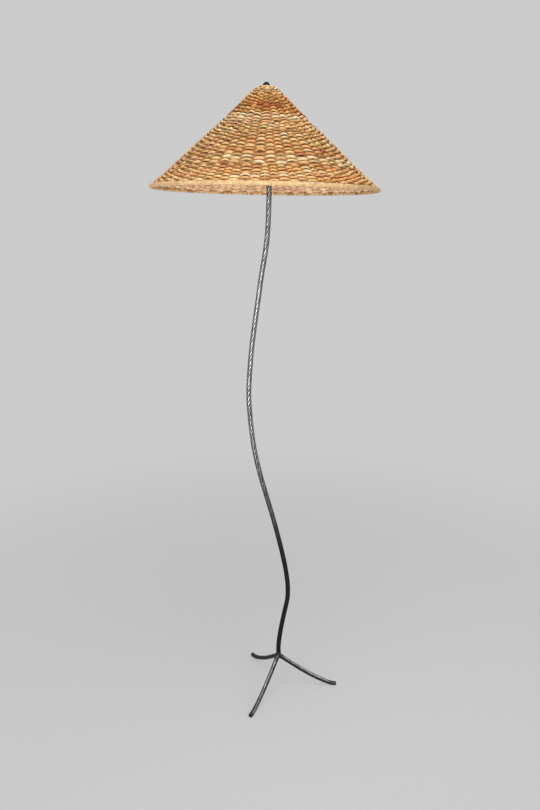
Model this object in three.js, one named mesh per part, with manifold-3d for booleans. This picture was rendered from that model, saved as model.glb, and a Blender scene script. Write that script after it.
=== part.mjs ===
// Rattan floor lamp: a hand-bent steel stem on three forged legs, a lamp holder with its bulb,
// a detachable wire harp, and a woven cone shade that a finial holds on the harp's stud.
// Millimetres, +Z up. The origin is on the floor, under the middle of the shade's rim.

import * as THREE from "three";
import { mergeVertices } from "three/addons/utils/BufferGeometryUtils.js";
import Module from "manifold-3d";

const wasm = await Module();
wasm.setup();

// Clearances shared by all fits
const seatGap = 0.3;
const cutOverrun = 20;

// Base: three round bars on a welded hub
const hubOffset = 38.5;
const hubHeight = 112;
const hubRadius = 10;
const legRadius = 6.35;
const footFlatDepth = 0.8;
const rightLegReach = 185.5;
const leftLegReach = 178.7;
const leftLegAngle = 118.8;
const legRouteShares = [
  [0, 0],
  [0.25, 0.32],
  [0.52, 0.64],
  [0.78, 0.885],
  [0.9, 0.972],
  [0.95, 0.996],
  [1, 1],
];

// Stem: one steel tube, bent by hand in one plane
const stemRadius = 7;
const stemBoreRadius = 5.4;
const stemTopHeight = 1570;
const stemTopOffset = 9;
const stemTopSetback = 2;
const stemStraightLength = 30;
const stemSway = 70;
const stemRouteShares = [
  [0.029, 0.027],
  [0.069, 0.152],
  [0.108, 0.321],
  [0.138, 0.451],
  [0.157, 0.476],
  [0.176, 0.467],
  [0.213, 0.376],
  [0.26, 0.194],
  [0.315, -0.06],
  [0.368, -0.338],
  [0.421, -0.615],
  [0.473, -0.827],
  [0.523, -0.937],
  [0.564, -0.991],
  [0.589, -0.999],
  [0.63, -0.942],
  [0.678, -0.836],
  [0.733, -0.667],
  [0.778, -0.511],
  [0.823, -0.36],
  [0.868, -0.184],
  [0.904, -0.083],
  [0.945, -0.029],
];

// Cord outlet: a bushing in the back of the stem's foot
const outletHeightShare = 0.022;
const outletHoleRadius = 4.4;
const outletBoreRadius = 3.2;
const outletFlangeRadius = 5.8;
const outletFlangeThickness = 1.6;

// Lean of the lamp holder, and of the shade on it, in degrees
const headBackAngle = 3.4;
const headLeftAngle = 1.6;
const shadeCrookedness = 2.6;

// Hollow threaded nipple, washer, saddle and lock nut on the stem's end
const nippleRadius = 5;
const nippleBoreRadius = 3.5;
const nippleDepth = 14;
const nippleRise = 15;
const neckWasherRadius = 9;
const neckWasherThickness = 1.5;
const lockNutFlats = 14;
const lockNutThickness = 3;

// Harp saddle and its two locking ferrules
const saddleWidth = 12;
const saddleThickness = 1.5;
const saddleArmHeight = 9;
const saddlePostHeight = 6;
const ferruleRadius = 4.2;
const ferruleLength = 14;
const ferruleLift = 10;

// Harp: one bent wire with a swivel stud at its top
const harpWireRadius = 2.2;
const harpFootSpacing = 60;
const harpHeight = 215;
const harpBowWidth = 112;
const harpFlareShares = [
  [0.06, 0.28],
  [0.58, 0.42],
  [1, 0.58],
];
const harpShoulderShares = [
  [0.93, 0.72],
  [0.66, 0.86],
  [0.3, 0.955],
];
const studRadius = 5.5;
const studLength = 9;
const studThreadRadius = 3.2;
const studThreadLength = 12;

// Lamp holder: cap, shell, liner, body and contacts
const capNeckRadius = 7.6;
const capNeckHeight = 4;
const capRadius = 17.1;
const capHeight = 18;
const capWall = 0.8;
const shellRadius = 16;
const shellWall = 0.7;
const shellBeadRadius = 16.7;
const shellHeight = 44.5;
const shellOverlap = 6.5;
const linerWall = 0.6;
const linerInset = 1.5;
const bodyHeight = 18;
const screwShellHeight = 22;
const screwShellWall = 0.6;
const contactRadius = 4.5;
const contactHeight = 3;
const terminalHeadRadius = 3;
const terminalHeadHeight = 1.6;
const terminalShankRadius = 1.7;
const terminalShankLength = 5;

// Turn switch through the side of the lamp holder
const switchHeight = 11;
const switchShaftRadius = 1.6;
const switchShaftLength = 24;
const switchShaftDepth = 8;
const switchKnobRadius = 4.5;
const switchKnobLength = 11;
const switchKnobThickness = 3.2;
const switchHoleRadius = 2.1;

// Bulb
const bulbBaseRadius = 12.9;
const bulbBaseHeight = 26;
const bulbBaseWall = 0.9;
const bulbTipRadius = 4.5;
const bulbTipHeight = 5;
const bulbRadius = 30;
const bulbLength = 110;
const bulbNeckRadius = 11.6;
const bulbNeckDepth = 9;
const bulbWall = 1;

// Shade: woven cone, wrapped rim hoop and wire fitter
const shadeRimRadius = 305;
const rimHoopRadius = 5.5;
const shadeDrop = 250;
const shadeRise = 255.5;
const shadeWall = 4;
const crownThickness = 3.6;
const crownHoleRadius = 10.6;
const shadeOutlineShares = [
  [0.125, 0.8725],
  [0.305, 0.7072],
  [0.48, 0.5466],
  [0.655, 0.3797],
  [0.826, 0.2292],
  [0.912, 0.157],
  [0.967, 0.108],
  [0.99, 0.08],
];
const rimSeatRadiusShare = 0.9812;
const crownEdgeRadiusShare = 0.056;

const fitterRadius = 15;
const fitterThickness = 1.5;
const fitterSeatGap = 0.6;
const fitterWireRadius = 2;
const fitterArmRadius = 1.6;
const fitterRingRadius = 58;
const fitterArmCount = 3;

// Finial
const finialRadius = 9;
const finialNeckRadius = 6.5;
const finialNeckHeight = 3.4;
const finialHeight = 13.8;
const finialRoof = 3;

// Facets round each kind of turned or swept piece
const fineFacets = 24;
const smallFacets = 16;
const shadeFacets = 60;
const tubeFacets = 12;
const wireFacets = 8;
const hoopFacets = 8;
const hoopSteps = 84;
const stemSteps = 56;
const legSteps = 18;
const harpSteps = 46;

const materials = {
  steel: new THREE.MeshStandardMaterial({ color: 0x3b3b3a, roughness: 0.42, metalness: 0.85 }),
  fixings: new THREE.MeshStandardMaterial({ color: 0x8f8c84, roughness: 0.38, metalness: 0.95 }),
  brass: new THREE.MeshStandardMaterial({ color: 0xa98a4a, roughness: 0.35, metalness: 0.95 }),
  moulding: new THREE.MeshStandardMaterial({ color: 0x17130f, roughness: 0.5, metalness: 0 }),
  liner: new THREE.MeshStandardMaterial({ color: 0x6b5a40, roughness: 0.9, metalness: 0 }),
  blackCap: new THREE.MeshStandardMaterial({ color: 0x141312, roughness: 0.35, metalness: 0.6 }),
  glass: new THREE.MeshStandardMaterial({ color: 0xf4efe2, roughness: 0.3, metalness: 0 }),
  rattan: new THREE.MeshStandardMaterial({ color: 0xb98d5c, roughness: 0.7, metalness: 0 }),
  rimRattan: new THREE.MeshStandardMaterial({ color: 0xe3c08d, roughness: 0.65, metalness: 0 }),
};

// Closed solid from a three.js geometry
function solid(geometry) {
  const bare = geometry.clone();
  bare.deleteAttribute("normal");
  bare.deleteAttribute("uv");
  const merged = mergeVertices(bare.index ? bare.toNonIndexed() : bare);
  const corners = merged.index.array;
  const kept = [];
  for (let i = 0; i < corners.length; i += 3) {
    const [a, b, c] = corners.slice(i, i + 3);
    if (a !== b && b !== c && c !== a) kept.push(a, b, c);
  }
  const mesh = new wasm.Mesh({
    numProp: 3,
    vertProperties: new Float32Array(merged.attributes.position.array),
    triVerts: new Uint32Array(kept),
  });
  return new wasm.Manifold(mesh);
}

function geometryOf(body) {
  const mesh = body.getMesh();
  const geometry = new THREE.BufferGeometry();
  geometry.setAttribute("position", new THREE.BufferAttribute(new Float32Array(mesh.vertProperties), 3));
  geometry.setIndex(new THREE.BufferAttribute(new Uint32Array(mesh.triVerts), 1));
  geometry.computeVertexNormals();
  return geometry;
}

function named(name, body, material) {
  const mesh = new THREE.Mesh(geometryOf(body), material);
  mesh.name = name;
  return mesh;
}

// Turned about +Z from [radius, height] points, which run counter-clockwise round the section
function turned(points, facets) {
  const profile = points.map(([radius, height]) => new THREE.Vector2(radius, height));
  return solid(new THREE.LatheGeometry(profile, facets).rotateX(Math.PI / 2));
}

// Section between two radii and two heights, as a ring or, with no inner radius, a disc
function ring(inner, outer, bottom, top, facets) {
  if (inner === 0) {
    return turned([[0, bottom], [outer, bottom], [outer, top], [0, top]], facets);
  }
  return turned([[inner, bottom], [outer, bottom], [outer, top], [inner, top], [inner, bottom]], facets);
}

// Round bar or tube swept along a curve
function swept(curve, radius, boreRadius, facets, steps) {
  const section = new THREE.Shape();
  section.absarc(0, 0, radius, 0, 2 * Math.PI, false);
  if (boreRadius > 0) {
    const bore = new THREE.Path();
    bore.absarc(0, 0, boreRadius, 0, 2 * Math.PI, true);
    section.holes.push(bore);
  }
  const options = { steps, extrudePath: curve, curveSegments: facets / 2 };
  return solid(new THREE.ExtrudeGeometry(section, options));
}

// Straight bar between two points
function bar(start, end, radius, facets) {
  return swept(new THREE.LineCurve3(start, end), radius, 0, facets, 1);
}

function block(width, depth, height, x, y, z) {
  return solid(new THREE.BoxGeometry(width, depth, height).translate(x, y, z));
}

const lamp = new THREE.Group();
const head = new THREE.Group();
const shade = new THREE.Group();

// The head group stands on the stem's cut end, with its own Z along the lamp holder
const toRadians = Math.PI / 180;
head.rotation.set(-headBackAngle * toRadians, -headLeftAngle * toRadians, 0);
head.position.set(stemTopOffset, stemTopSetback, stemTopHeight);
const headAxis = new THREE.Vector3(0, 0, 1).applyEuler(head.rotation);
lamp.add(head);

// Heights along the head axis, stacked from the stem's end
const neckWasherBase = seatGap;
const saddleBase = neckWasherBase + neckWasherThickness + seatGap;
const lockNutBase = saddleBase + saddleThickness + seatGap;
const capBase = lockNutBase + lockNutThickness + seatGap;
const threadHoleRadius = nippleRadius + seatGap;
const capTop = capBase + capHeight;
const shellBase = capTop - shellOverlap;
const shellTop = shellBase + shellHeight;
const bodyBase = nippleRise + neckWasherThickness + saddleThickness;
const bodyTop = bodyBase + bodyHeight;
const linerRadius = shellRadius - shellWall - seatGap;
const bodyRadius = linerRadius - linerWall - seatGap;
const contactBase = bodyTop + seatGap;
const bulbBaseBottom = contactBase + contactHeight + seatGap;
const bulbBaseTop = bulbBaseBottom + bulbBaseHeight;
const bulbTop = bulbBaseBottom + bulbLength;
const harpShoulder = saddleBase + harpHeight;
const fitterBase = harpShoulder + fitterSeatGap;
const finialBase = fitterBase + fitterThickness + fitterSeatGap;

const hubCentre = new THREE.Vector3(hubOffset, 0, hubHeight);

function hubBall(radius) {
  const ball = new THREE.SphereGeometry(radius, smallFacets, smallFacets / 2);
  return solid(ball.translate(hubCentre.x, hubCentre.y, hubCentre.z));
}

function baseHub() {
  return named("base_hub", hubBall(hubRadius), materials.steel);
}

// A leg leaves the hub steeply and flattens out until its tip lies on the floor
function leg(name, reach, turn) {
  const footHeight = legRadius - footFlatDepth;
  const route = legRouteShares.map(([reachShare, dropShare]) => {
    const outward = reachShare * reach;
    const x = hubCentre.x + outward * Math.cos(turn * toRadians);
    const y = outward * Math.sin(turn * toRadians);
    return new THREE.Vector3(x, y, hubHeight - dropShare * (hubHeight - footHeight));
  });
  const bent = swept(new THREE.CatmullRomCurve3(route), legRadius, 0, tubeFacets, legSteps);
  const span = 2 * reach + cutOverrun;
  const floor = block(span, span, cutOverrun, hubCentre.x, hubCentre.y, -cutOverrun / 2);
  return named(name, bent.subtract(hubBall(hubRadius + seatGap)).subtract(floor), materials.steel);
}

function stemRoute() {
  const top = head.position.clone();
  const points = [hubCentre.clone()];
  for (const [heightShare, swayShare] of stemRouteShares) {
    const x = THREE.MathUtils.lerp(hubOffset, stemTopOffset, heightShare) + swayShare * stemSway;
    points.push(new THREE.Vector3(x, 0, THREE.MathUtils.lerp(hubHeight, stemTopHeight, heightShare)));
  }
  points.push(top.clone().addScaledVector(headAxis, -stemStraightLength), top);
  return new THREE.CatmullRomCurve3(points);
}

const stemCurve = stemRoute();
const outletPoint = stemCurve.getPointAt(outletHeightShare);
const stemWallBack = outletPoint.y + stemRadius;

// Bar along +Y through the cord outlet, between two depths
function outletBar(radius, from, to) {
  const start = new THREE.Vector3(outletPoint.x, from, outletPoint.z);
  const end = new THREE.Vector3(outletPoint.x, to, outletPoint.z);
  return bar(start, end, radius, smallFacets);
}

function stemTube() {
  const tube = swept(stemCurve, stemRadius, stemBoreRadius, tubeFacets, stemSteps);
  const outlet = outletBar(outletHoleRadius, outletPoint.y, stemWallBack + cutOverrun);
  return named("stem_tube", tube.subtract(hubBall(hubRadius + seatGap)).subtract(outlet), materials.steel);
}

function cordOutletBushing() {
  const flangeBack = stemWallBack + seatGap + outletFlangeThickness;
  const clearTube = swept(stemCurve, stemRadius + seatGap, 0, tubeFacets, stemSteps);
  const flange = outletBar(outletFlangeRadius, outletPoint.y, flangeBack).subtract(clearTube);
  const neck = outletBar(outletHoleRadius - seatGap, outletPoint.y + stemBoreRadius, flangeBack);
  const bore = outletBar(outletBoreRadius, outletPoint.y, flangeBack + cutOverrun);
  return named("cord_outlet_bushing", flange.add(neck).subtract(bore), materials.moulding);
}

function threadedNipple() {
  const body = ring(nippleBoreRadius, nippleRadius, -nippleDepth, nippleRise, smallFacets);
  return named("threaded_nipple", body, materials.fixings);
}

function neckWasher() {
  const top = neckWasherBase + neckWasherThickness;
  const body = ring(threadHoleRadius, neckWasherRadius, neckWasherBase, top, fineFacets);
  return named("neck_washer", body, materials.fixings);
}

// Hexagonal prism with a round threaded hole
function lockNut() {
  const cornerRadius = lockNutFlats / Math.sqrt(3);
  const top = lockNutBase + lockNutThickness;
  const prism = ring(0, cornerRadius, lockNutBase, top, 6);
  const hole = ring(0, threadHoleRadius, lockNutBase - cutOverrun, top + cutOverrun, smallFacets);
  return named("lock_nut", prism.subtract(hole), materials.fixings);
}

// U-shaped strap: a flat base on the washer, two upturned arms, and a round post on each arm
const harpFoot = harpFootSpacing / 2;
const saddleArmTop = saddleBase + saddleArmHeight;
const postTop = saddleArmTop + saddlePostHeight;

function harpSaddle() {
  const length = harpFootSpacing + saddleThickness;
  let strap = block(length, saddleWidth, saddleThickness, 0, 0, saddleBase + saddleThickness / 2);
  for (const side of [-1, 1]) {
    const x = side * harpFoot;
    const arm = block(saddleThickness, saddleWidth, saddleArmHeight, x, 0, saddleBase + saddleArmHeight / 2);
    const foot = new THREE.Vector3(x, 0, saddleBase + saddleThickness);
    strap = strap.add(arm).add(bar(foot, new THREE.Vector3(x, 0, postTop), harpWireRadius, wireFacets));
  }
  const hole = ring(0, threadHoleRadius, -cutOverrun, saddleBase + cutOverrun, smallFacets);
  return named("harp_saddle", strap.subtract(hole), materials.fixings);
}

// The harp's bow, from one foot up over the stud and down to the other foot
function harpRoute() {
  const straightTop = saddleArmTop + seatGap + ferruleLength + ferruleLift + ferruleRadius;
  const topCentre = harpShoulder - studLength / 2;
  const right = [
    new THREE.Vector3(harpFoot, 0, postTop + seatGap),
    new THREE.Vector3(harpFoot, 0, (postTop + straightTop) / 2),
    new THREE.Vector3(harpFoot, 0, straightTop),
  ];
  const bow = [
    ...harpFlareShares.map(([out, rise]) => [THREE.MathUtils.lerp(harpFoot, harpBowWidth / 2, out), rise]),
    ...harpShoulderShares.map(([out, rise]) => [(out * harpBowWidth) / 2, rise]),
  ];
  for (const [x, rise] of bow) {
    right.push(new THREE.Vector3(x, 0, THREE.MathUtils.lerp(saddleBase, topCentre, rise)));
  }
  const left = right.map((point) => new THREE.Vector3(-point.x, 0, point.z)).reverse();
  return new THREE.CatmullRomCurve3([...right, new THREE.Vector3(0, 0, topCentre), ...left]);
}

const harpCurve = harpRoute();

function harpWire() {
  return named("harp_wire", swept(harpCurve, harpWireRadius, 0, wireFacets, harpSteps), materials.fixings);
}

// Swivel stud: a drum that the wire passes through, and a threaded pin for the finial
function harpStud() {
  const drum = ring(0, studRadius, harpShoulder - studLength, harpShoulder, fineFacets);
  const pin = ring(0, studThreadRadius, harpShoulder - seatGap, harpShoulder + studThreadLength, smallFacets);
  const wirePath = swept(harpCurve, harpWireRadius + seatGap, 0, wireFacets, harpSteps);
  return named("harp_stud", drum.add(pin).subtract(wirePath), materials.fixings);
}

function ferrule(name, side) {
  const base = saddleArmTop + seatGap;
  const body = ring(harpWireRadius + seatGap, ferruleRadius, base, base + ferruleLength, smallFacets);
  const mesh = named(name, body, materials.brass);
  mesh.position.x = side * harpFoot;
  return mesh;
}

function socketCap() {
  const inner = capRadius - capWall;
  const shoulder = capBase + capNeckHeight + (capHeight - capNeckHeight) / 2;
  const body = turned(
    [
      [threadHoleRadius, capBase],
      [capNeckRadius, capBase],
      [capNeckRadius, capBase + capNeckHeight],
      [(capNeckRadius + 2 * capRadius) / 3, (capBase + capNeckHeight + shoulder) / 2],
      [capRadius, shoulder],
      [capRadius, capTop],
      [inner, capTop],
      [inner, shoulder + capWall],
      [(capNeckRadius + 2 * inner) / 3, (capBase + capNeckHeight + shoulder) / 2 + capWall],
      [threadHoleRadius, capBase + capNeckHeight],
      [threadHoleRadius, capBase],
    ],
    fineFacets,
  );
  return named("socket_cap", body, materials.brass);
}

// Heights and places of the switch, whose shaft points to the front
const switchAxisHeight = bodyBase + switchHeight;
const switchShaftTip = -(switchShaftDepth + switchShaftLength);

function frontBar(radius, from, to) {
  const start = new THREE.Vector3(0, from, switchAxisHeight);
  return bar(start, new THREE.Vector3(0, to, switchAxisHeight), radius, smallFacets);
}

function switchHole() {
  return frontBar(switchHoleRadius, -switchShaftDepth + seatGap, switchShaftTip - cutOverrun);
}

function socketShell() {
  const inner = shellRadius - shellWall;
  const beadHeight = shellBeadRadius - inner;
  const body = turned(
    [
      [inner, shellBase],
      [shellRadius, shellBase],
      [shellRadius, shellTop - beadHeight],
      [shellBeadRadius, shellTop - beadHeight / 2],
      [shellRadius, shellTop],
      [inner, shellTop],
      [inner, shellBase],
    ],
    fineFacets,
  );
  return named("socket_shell", body.subtract(switchHole()), materials.brass);
}

function insulatingLiner() {
  const [bottom, top] = [shellBase + linerInset, shellTop - linerInset];
  const body = ring(linerRadius - linerWall, linerRadius, bottom, top, fineFacets);
  return named("insulating_liner", body.subtract(switchHole()), materials.liner);
}

// Terminal screws sit in pockets in the two sides of the body
const terminalHeight = bodyBase + terminalHeadRadius + linerWall;
const terminalSeat = bodyRadius - terminalHeadHeight - seatGap;

function terminalShape(side, clearance, overrun) {
  const headStart = new THREE.Vector3(side * (terminalSeat - clearance), 0, terminalHeight);
  const headEnd = headStart.clone().setX(side * (terminalSeat + terminalHeadHeight + overrun));
  const shankEnd = headStart.clone().setX(side * (terminalSeat - terminalShankLength - clearance));
  const screwHead = bar(headStart, headEnd, terminalHeadRadius + clearance, smallFacets);
  const shankStart = headStart.clone().setX(side * (terminalSeat + seatGap));
  return screwHead.add(bar(shankStart, shankEnd, terminalShankRadius + clearance, smallFacets));
}

function socketBody() {
  let body = ring(0, bodyRadius, bodyBase, bodyTop, fineFacets).subtract(switchHole());
  for (const side of [-1, 1]) body = body.subtract(terminalShape(side, seatGap, cutOverrun));
  return named("socket_body", body, materials.moulding);
}

function terminalScrew(name, side) {
  return named(name, terminalShape(side, 0, 0), materials.brass);
}

function screwShell() {
  const inner = bodyRadius - screwShellWall;
  const floorHole = contactRadius + 2 * seatGap;
  const body = turned(
    [
      [floorHole, contactBase],
      [bodyRadius, contactBase],
      [bodyRadius, contactBase + screwShellHeight],
      [inner, contactBase + screwShellHeight],
      [inner, contactBase + screwShellWall],
      [floorHole, contactBase + screwShellWall],
      [floorHole, contactBase],
    ],
    fineFacets,
  );
  return named("screw_shell", body, materials.brass);
}

function centreContact() {
  const top = contactBase + contactHeight;
  const body = turned(
    [[0, contactBase], [contactRadius, contactBase], [contactRadius / 2, top], [0, top]],
    smallFacets,
  );
  return named("centre_contact", body, materials.brass);
}

function switchShaft() {
  const body = frontBar(switchShaftRadius, -switchShaftDepth, switchShaftTip);
  return named("switch_shaft", body, materials.fixings);
}

// Flat key with a round boss, pushed on the shaft's end
function switchKnob() {
  const start = switchShaftTip + switchKnobLength / 2;
  const end = start - switchKnobLength;
  const boss = frontBar(switchKnobRadius / 1.5, start, (start + end) / 2);
  const gripCentre = (start + 3 * end) / 4;
  const gripLength = switchKnobLength / 2;
  const grip = block(2 * switchKnobRadius, gripLength, switchKnobThickness, 0, gripCentre, switchAxisHeight);
  const hole = frontBar(switchShaftRadius + seatGap, start + cutOverrun, switchShaftTip - seatGap);
  return named("switch_knob", boss.add(grip).subtract(hole), materials.moulding);
}

// Screw base of the bulb: contact tip, insulator cone, and a cup that holds the neck
const bulbNeckBottom = bulbBaseTop - bulbNeckDepth;

function bulbBase() {
  const cupFloor = bulbNeckBottom - seatGap;
  const cupRadius = bulbBaseRadius - bulbBaseWall;
  const body = turned(
    [
      [0, bulbBaseBottom],
      [bulbTipRadius, bulbBaseBottom],
      [bulbTipRadius, bulbBaseBottom + bulbTipHeight / 4],
      [bulbBaseRadius, bulbBaseBottom + bulbTipHeight],
      [bulbBaseRadius, bulbBaseTop],
      [cupRadius, bulbBaseTop],
      [cupRadius, cupFloor],
      [0, cupFloor],
    ],
    fineFacets,
  );
  return named("bulb_base", body, materials.fixings);
}

const bulbOutlineShares = [
  [0.42, 0.09],
  [0.62, 0.24],
  [0.86, 0.42],
  [0.98, 0.56],
  [1, 0.66],
  [0.95, 0.78],
  [0.78, 0.9],
  [0.42, 0.98],
];

// Glass envelope, open at the neck
function bulbGlass() {
  const skin = (inset) => [
    [bulbNeckRadius - inset, bulbNeckBottom],
    [bulbNeckRadius - inset, bulbBaseTop],
    ...bulbOutlineShares.map(([out, rise]) => [
      out * bulbRadius - inset,
      THREE.MathUtils.lerp(bulbBaseTop, bulbTop - inset, rise),
    ]),
    [0, bulbTop - inset],
  ];
  const section = [...skin(bulbWall).reverse(), ...skin(0)];
  return named("bulb_glass", turned(section, fineFacets), materials.glass);
}

// Shade: its own group, turned a little on the harp because the cone is woven crooked
shade.position.z = fitterBase;
shade.rotation.y = shadeCrookedness * toRadians;
head.add(shade);

const hoopCentreRadius = shadeRimRadius - rimHoopRadius;
const weaveFoot = rimHoopRadius + seatGap - shadeDrop;
const crownTop = shadeRise - shadeDrop;

// Outside of the weave from the rim up to the crown, in the shade's own frame
function weaveOutside() {
  const slope = shadeOutlineShares.map(([rise, out]) => [out * shadeRimRadius, rise * shadeRise - shadeDrop]);
  const foot = [rimSeatRadiusShare * shadeRimRadius, weaveFoot];
  return [foot, ...slope, [crownEdgeRadiusShare * shadeRimRadius, crownTop]];
}

// The same outline moved inwards by the wall, measured square to each stretch
function weaveInside() {
  const outside = weaveOutside();
  const inside = [];
  for (let i = 0; i < outside.length - 1; i += 1) {
    const before = outside[Math.max(i - 1, 0)];
    const after = outside[i + 1];
    const run = [after[0] - before[0], after[1] - before[1]];
    const length = Math.hypot(run[0], run[1]);
    const height = i === 0 ? weaveFoot : outside[i][1] + (shadeWall * run[0]) / length;
    const inward = i === 0 ? (shadeWall * length) / run[1] : (shadeWall * run[1]) / length;
    if (height < crownTop - crownThickness) inside.push([outside[i][0] - inward, height]);
  }
  return inside;
}

function shadeWeave() {
  const inside = weaveInside();
  const ceiling = crownTop - crownThickness;
  const innerEdge = inside[inside.length - 1][0];
  const profile = [
    ...weaveOutside(),
    [crownHoleRadius, crownTop],
    [crownHoleRadius, ceiling],
    [(innerEdge + crownHoleRadius) / 2, ceiling],
    ...inside.reverse(),
    weaveOutside()[0],
  ];
  return named("shade_weave", turned(profile, shadeFacets), materials.rattan);
}

function rimHoop() {
  const hoop = new THREE.TorusGeometry(hoopCentreRadius, rimHoopRadius, hoopFacets, hoopSteps);
  return named("rim_hoop", solid(hoop.translate(0, 0, -shadeDrop)), materials.rimRattan);
}

// Height in the shade where the inside of the weave has a given radius
function insideHeight(radius) {
  const inside = weaveInside();
  const upper = inside.findIndex(([r]) => r < radius);
  const [low, high] = [inside[upper - 1], inside[upper]];
  return THREE.MathUtils.mapLinear(radius, low[0], high[0], low[1], high[1]);
}

// Wire fitter: a washer for the stud, three arms, and a ring under the upper courses
function shadeFitter() {
  const washer = ring(studThreadRadius + seatGap, fitterRadius, 0, fitterThickness, fineFacets);
  const clearance = fitterWireRadius + 2 * seatGap;
  const ringHeight = insideHeight(fitterRingRadius + clearance) - clearance / 2;
  const wire = new THREE.TorusGeometry(fitterRingRadius, fitterWireRadius, wireFacets, shadeFacets);
  let fitter = washer.add(solid(wire.translate(0, 0, ringHeight)));
  for (let arm = 0; arm < fitterArmCount; arm += 1) {
    const turn = ((arm + 1 / 4) * 2 * Math.PI) / fitterArmCount;
    const outward = new THREE.Vector3(Math.cos(turn), Math.sin(turn), 0);
    const start = outward.clone().multiplyScalar(fitterRadius - fitterArmRadius);
    const end = outward.clone().multiplyScalar(fitterRingRadius).setZ(ringHeight);
    fitter = fitter.add(bar(start, end, fitterArmRadius, wireFacets));
  }
  return named("shade_fitter", fitter, materials.fixings);
}

// Domed nut with a blind threaded hole
function finial() {
  const domeBase = finialBase + finialNeckHeight;
  const domeHeight = finialHeight - finialNeckHeight;
  const dome = new THREE.EllipseCurve(0, domeBase, finialRadius, domeHeight, 0, Math.PI / 2);
  const domePoints = dome.getPoints(6).map((point) => [Math.max(point.x, 0), point.y]);
  domePoints[domePoints.length - 1][0] = 0;
  const holeRadius = studThreadRadius + seatGap;
  const holeTop = finialBase + finialHeight - finialRoof;
  const body = turned(
    [
      [0, holeTop],
      [holeRadius, holeTop],
      [holeRadius, finialBase],
      [finialNeckRadius, finialBase],
      [finialNeckRadius, finialBase + finialNeckHeight],
      ...domePoints,
    ],
    fineFacets,
  );
  return named("finial", body, materials.blackCap);
}

lamp.add(baseHub());
lamp.add(leg("leg_right", rightLegReach, 0));
lamp.add(leg("leg_front_left", leftLegReach, -leftLegAngle));
lamp.add(leg("leg_back_left", leftLegReach, leftLegAngle));
lamp.add(stemTube());
lamp.add(cordOutletBushing());
head.add(threadedNipple(), neckWasher(), harpSaddle(), lockNut());
head.add(harpWire(), harpStud(), ferrule("harp_ferrule_left", -1), ferrule("harp_ferrule_right", 1));
head.add(socketCap(), socketShell(), insulatingLiner(), socketBody());
head.add(terminalScrew("terminal_screw_left", -1), terminalScrew("terminal_screw_right", 1));
head.add(screwShell(), centreContact(), switchShaft(), switchKnob());
head.add(bulbBase(), bulbGlass(), finial());
shade.add(shadeWeave(), rimHoop(), shadeFitter());

export default lamp;
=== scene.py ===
import math

import bpy
import numpy as np
from mathutils import Matrix, Vector


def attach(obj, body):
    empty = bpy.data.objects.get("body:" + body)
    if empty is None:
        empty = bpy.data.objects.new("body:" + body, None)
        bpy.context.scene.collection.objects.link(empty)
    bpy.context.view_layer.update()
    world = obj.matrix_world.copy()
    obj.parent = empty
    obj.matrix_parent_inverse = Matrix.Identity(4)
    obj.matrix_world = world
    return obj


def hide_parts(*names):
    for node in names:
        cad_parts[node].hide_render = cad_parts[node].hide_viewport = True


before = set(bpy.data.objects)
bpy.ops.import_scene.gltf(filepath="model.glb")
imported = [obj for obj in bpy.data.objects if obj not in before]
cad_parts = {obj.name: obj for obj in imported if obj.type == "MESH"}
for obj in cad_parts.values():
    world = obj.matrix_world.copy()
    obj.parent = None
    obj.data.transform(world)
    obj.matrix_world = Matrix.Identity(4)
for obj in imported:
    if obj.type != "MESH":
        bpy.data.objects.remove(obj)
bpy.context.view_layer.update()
bpy.ops.object.select_all(action="DESELECT")

# Camera: it stands 2.1 m in front of the lamp at the height of the shade's rim,
# and looks down a little, so that the whole lamp from finial to feet is in the frame.
bpy.ops.object.camera_add(location=(0.012, -2.120, 1.572), rotation=(math.radians(90 - 16.6), 0, 0))
camera = bpy.context.object
camera.data.lens = 34.22
camera.data.sensor_width = 36
bpy.context.scene.camera = camera

# Studio: a pale floor that fades into an even pale backdrop, and soft lamps
# in front and above. The floor keeps the lamp's shadow.
PALE = (0.60, 0.60, 0.605, 1)


def node(tree, kind, inputs=None, **settings):
    made = tree.nodes.new("ShaderNode" + kind)
    for key, value in settings.items():
        setattr(made, key, value)
    for key, value in (inputs or {}).items():
        if isinstance(value, bpy.types.NodeSocket):
            tree.links.new(value, made.inputs[key])
        else:
            made.inputs[key].default_value = value
    return made


def fresh_material(name, **values):
    """A new material, its nodes and its shader. A socket's name is written with low lines for its spaces."""
    material = bpy.data.materials.new(name)
    material.use_nodes = True
    shader = material.node_tree.nodes["Principled BSDF"]
    for socket, value in values.items():
        shader.inputs[socket.replace("_", " ")].default_value = value
    return material, material.node_tree, shader


def own_place(tree):
    return node(tree, "TexCoord").outputs["Object"]


def graded(tree, value, low, high, start=0.0, end=1.0, **settings):
    """Takes a value from the range start to end into the range low to high."""
    return node(tree, "MapRange", {"Value": value, "From Min": start, "From Max": end, "To Min": low,
                                   "To Max": high}, **settings).outputs["Result"]


def maths(tree, operation, first, second, third=0.5):
    return node(tree, "Math", {0: first, 1: second, 2: third}, operation=operation).outputs[0]


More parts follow.
